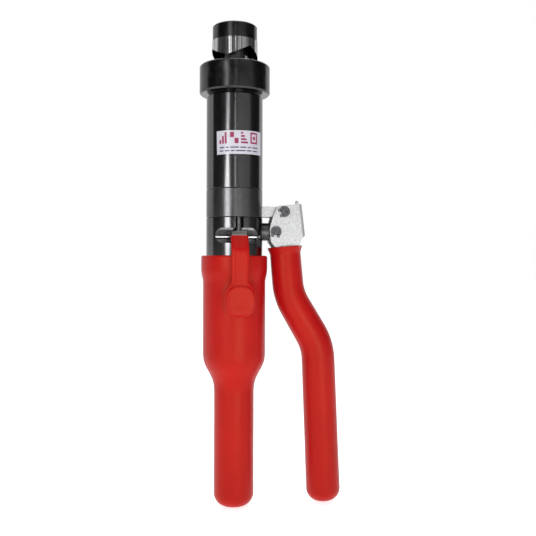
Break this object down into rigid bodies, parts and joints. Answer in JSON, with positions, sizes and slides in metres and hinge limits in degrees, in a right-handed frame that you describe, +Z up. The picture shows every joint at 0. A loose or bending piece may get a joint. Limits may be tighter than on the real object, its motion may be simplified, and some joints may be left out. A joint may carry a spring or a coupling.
{
  "type": "hydraulic punching hand tool",
  "caption": "Hand-pumped hydraulic tool that draws a toothed punch through sheet metal into a ring die, with pump lever and release lever.",
  "frame": {"origin": "on the tool's axis, in the plane of the die's top face, where the sheet metal rests", "axes": "+Z up the tool's axis from the handle to the punch; +X towards the pump lever; -Y is the front, where the release lever hangs"},
  "size_m": [0.1261, 0.066, 0.4198],
  "materials": {
    "blackened_steel": "glossy black oxide",
    "die_steel": "satin black oxide",
    "punch_steel": "black oxide with a bright ground band",
    "zinc_plate": "mottled zinc plate",
    "bright_steel": "ground",
    "release_steel": "plain steel",
    "spring_steel": "drawn",
    "fastener_steel": "black oxide",
    "pin_steel": "phosphated",
    "reservoir_aluminium": "turned",
    "bladder_rubber": "moulded",
    "seal_rubber": "moulded",
    "red_vinyl": "dipped soft vinyl",
    "label_film": "printed film"
  },
  "bodies": {
    "handle": {"pump_block": "blackened_steel", "pump_head": "blackened_steel", "pump_head_screws": "fastener_steel", "swivel_clip": "spring_steel", "fulcrum_block": "zinc_plate", "pump_barrel": "pin_steel", "plunger_seal": "seal_rubber", "delivery_valve_ball": "bright_steel", "delivery_valve_spring": "spring_steel", "suction_valve_ball": "bright_steel", "suction_valve_spring": "spring_steel", "suction_valve_seat": "bright_steel", "relief_valve_ball": "bright_steel", "relief_valve_spring": "spring_steel", "relief_valve_screw": "fastener_steel", "release_pin": "bright_steel", "release_valve_spring": "spring_steel", "reservoir_tube": "reservoir_aluminium", "filler_plug": "fastener_steel", "oil_bladder": "bladder_rubber", "bladder_clamp": "spring_steel", "handle_sleeve": "red_vinyl"},
    "cylinder": {"cylinder_tube": "blackened_steel", "cylinder_head": "blackened_steel", "cylinder_base": "blackened_steel", "rod_seal": "seal_rubber", "rod_wiper": "seal_rubber", "cylinder_head_o_ring": "seal_rubber", "swivel_o_rings": "seal_rubber", "return_spring": "spring_steel", "rating_label": "label_film", "die": "die_steel"},
    "draw_rod": {"piston_rod": "bright_steel", "piston": "bright_steel", "piston_seal": "seal_rubber", "piston_nut": "fastener_steel", "draw_stud": "fastener_steel", "punch": "punch_steel"},
    "lever": {"lever_bracket": "zinc_plate", "lever_tube": "blackened_steel", "lever_grip": "red_vinyl", "fulcrum_pin": "pin_steel", "plunger_pin": "pin_steel", "circlips": "pin_steel"},
    "plunger": {"pump_plunger": "bright_steel"},
    "release_lever": {"release_lever": "release_steel", "release_lever_grip": "red_vinyl"},
    "release_valve": {"release_valve_stem": "pin_steel", "release_valve_ball": "bright_steel"}
  },
  "joints": [
    {"name": "head_swivel", "type": "hinge", "parent": "handle", "child": "cylinder", "pos_m": [0, 0, -0.1085], "axis": [0, 0, 1], "continuous": true},
    {"name": "draw", "type": "slide", "parent": "cylinder", "child": "draw_rod", "axis": [0, 0, -1], "range_m": [0, 0.018], "stiffness_N_per_m": 4000, "springref_m": -0.01, "deforming": ["return_spring"]},
    {"name": "pump_lever", "type": "hinge", "parent": "handle", "child": "lever", "pos_m": [0.0428, 0, -0.1274], "axis": [0, -1, 0], "range_deg": [0, 50]},
    {"name": "plunger_slide", "type": "slide", "parent": "handle", "child": "plunger", "axis": [1, 0, 0], "range_m": [0, 0.016]},
    {"name": "release", "type": "hinge", "parent": "handle", "child": "release_lever", "pos_m": [0, -0.014, -0.15], "axis": [-1, 0, 0], "range_deg": [0, 14]},
    {"name": "release_valve_slide", "type": "slide", "parent": "handle", "child": "release_valve", "axis": [0, 0, 1], "range_m": [0, 0.0019], "stiffness_N_per_m": 4700, "springref_m": -0.0024, "deforming": ["release_valve_spring"]}
  ],
  "couplings": [
    {"joint": "plunger_slide", "follows": "pump_lever", "m_per_rad": 0.018262},
    {"joint": "release", "follows": "release_valve_slide", "rad_per_m": 125}
  ]
}
